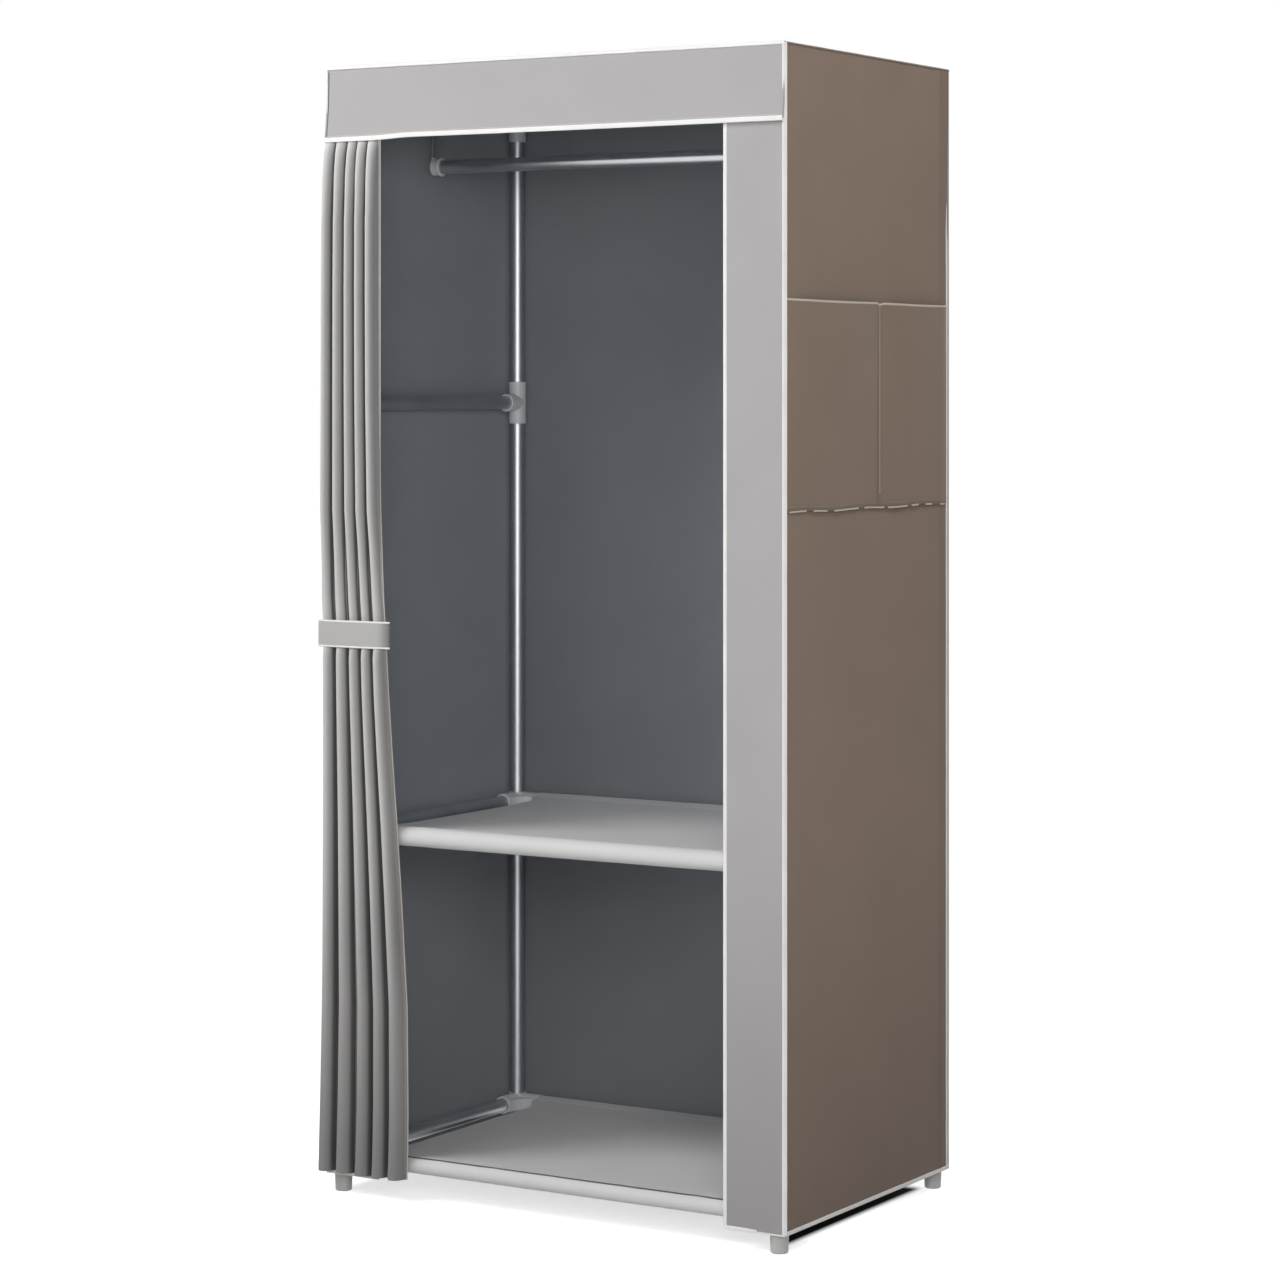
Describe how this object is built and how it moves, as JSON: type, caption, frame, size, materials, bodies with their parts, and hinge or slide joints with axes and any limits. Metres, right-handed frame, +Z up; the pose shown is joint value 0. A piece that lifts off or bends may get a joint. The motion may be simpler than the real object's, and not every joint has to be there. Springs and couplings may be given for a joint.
{
  "type": "fabric wardrobe",
  "caption": "Free-standing push-fit tube wardrobe frame with a fabric cover, hanging rail, fabric shelves, side pockets and a tied-back curtain.",
  "frame": {"origin": "on the floor, at the middle of the whole object's box seen from above", "axes": "+Z up, -Y the open front with the curtain, +X the side with the pockets"},
  "size_m": [0.7084, 0.4784, 1.5],
  "materials": {
    "steel_tube": "bright plated steel tube",
    "rod_steel": "plain drawn steel rod",
    "foot_plastic": "light grey moulded cap",
    "grey_plastic": "grey moulded plastic, fine satin",
    "shelf_fabric": "light grey non-woven cloth",
    "curtain_fabric": "grey non-woven cloth in soft folds",
    "tieback_fabric": "light grey non-woven band",
    "white_binding": "off-white bias binding",
    "front_fabric": "light grey non-woven cloth with embossed points",
    "side_fabric": "taupe non-woven cloth with embossed points"
  },
  "bodies": {
    "root": {"bottom_connector_back_left": "grey_plastic", "bottom_connector_back_right": "grey_plastic", "bottom_connector_front_left": "grey_plastic", "bottom_connector_front_right": "grey_plastic", "bottom_tube_back": "steel_tube", "bottom_tube_front": "steel_tube", "bottom_tube_left": "steel_tube", "bottom_tube_right": "steel_tube", "cover_back": "side_fabric", "cover_left": "side_fabric", "cover_right": "side_fabric", "cover_top": "side_fabric", "curtain_pleat_1": "curtain_fabric", "curtain_rod": "rod_steel", "feet": "foot_plastic", "front_strip_left": "front_fabric", "front_strip_right": "front_fabric", "hanging_rail": "steel_tube", "mid_tee_back_left": "grey_plastic", "mid_tee_back_right": "grey_plastic", "mid_tee_front_left": "grey_plastic", "mid_tee_front_right": "grey_plastic", "post_back_left": "steel_tube", "post_back_right": "steel_tube", "post_front_left": "steel_tube", "post_front_right": "steel_tube", "rail_hanger_left": "grey_plastic", "rail_hanger_right": "grey_plastic", "rod_clip_left": "grey_plastic", "rod_clip_right": "grey_plastic", "shelf_cloth_bottom": "shelf_fabric", "shelf_cloth_middle": "shelf_fabric", "shelf_connector_back_left": "grey_plastic", "shelf_connector_back_right": "grey_plastic", "shelf_connector_front_left": "grey_plastic", "shelf_connector_front_right": "grey_plastic", "shelf_tube_back": "steel_tube", "shelf_tube_front": "steel_tube", "shelf_tube_left": "steel_tube", "shelf_tube_right": "steel_tube", "side_pocket": "side_fabric", "side_rail_left": "steel_tube", "side_rail_right": "steel_tube", "top_connector_back_left": "grey_plastic", "top_connector_back_right": "grey_plastic", "top_connector_front_left": "grey_plastic", "top_connector_front_right": "grey_plastic", "top_tube_back": "steel_tube", "top_tube_front": "steel_tube", "top_tube_left": "steel_tube", "top_tube_right": "steel_tube", "valance": "front_fabric", "white_binding": "white_binding"},
    "pleat_2": {"curtain_pleat_2": "curtain_fabric"},
    "pleat_3": {"curtain_pleat_3": "curtain_fabric"},
    "pleat_4": {"curtain_pleat_4": "curtain_fabric"},
    "pleat_5": {"curtain_pleat_5": "curtain_fabric"},
    "tieback": {"tieback": "tieback_fabric"}
  },
  "joints": [
    {"name": "curtain_draw_2", "type": "slide", "parent": "root", "child": "pleat_2", "axis": [1, 0, 0], "range_m": [0, 0.1365]},
    {"name": "curtain_draw_3", "type": "slide", "parent": "pleat_2", "child": "pleat_3", "axis": [1, 0, 0], "range_m": [0, 0.1365]},
    {"name": "curtain_draw_4", "type": "slide", "parent": "pleat_3", "child": "pleat_4", "axis": [1, 0, 0], "range_m": [0, 0.1365]},
    {"name": "curtain_draw_5", "type": "slide", "parent": "pleat_4", "child": "pleat_5", "axis": [1, 0, 0], "range_m": [0, 0.1365]},
    {"name": "tieback_swing", "type": "hinge", "parent": "root", "child": "tieback", "pos_m": [-0.3542, -0.21715, 0.746], "axis": [0, 0, -1], "range_deg": [0, 100]}
  ],
  "couplings": [
    {"joint": "curtain_draw_3", "follows": "curtain_draw_2", "ratio": 1},
    {"joint": "curtain_draw_4", "follows": "curtain_draw_2", "ratio": 1},
    {"joint": "curtain_draw_5", "follows": "curtain_draw_2", "ratio": 1}
  ]
}
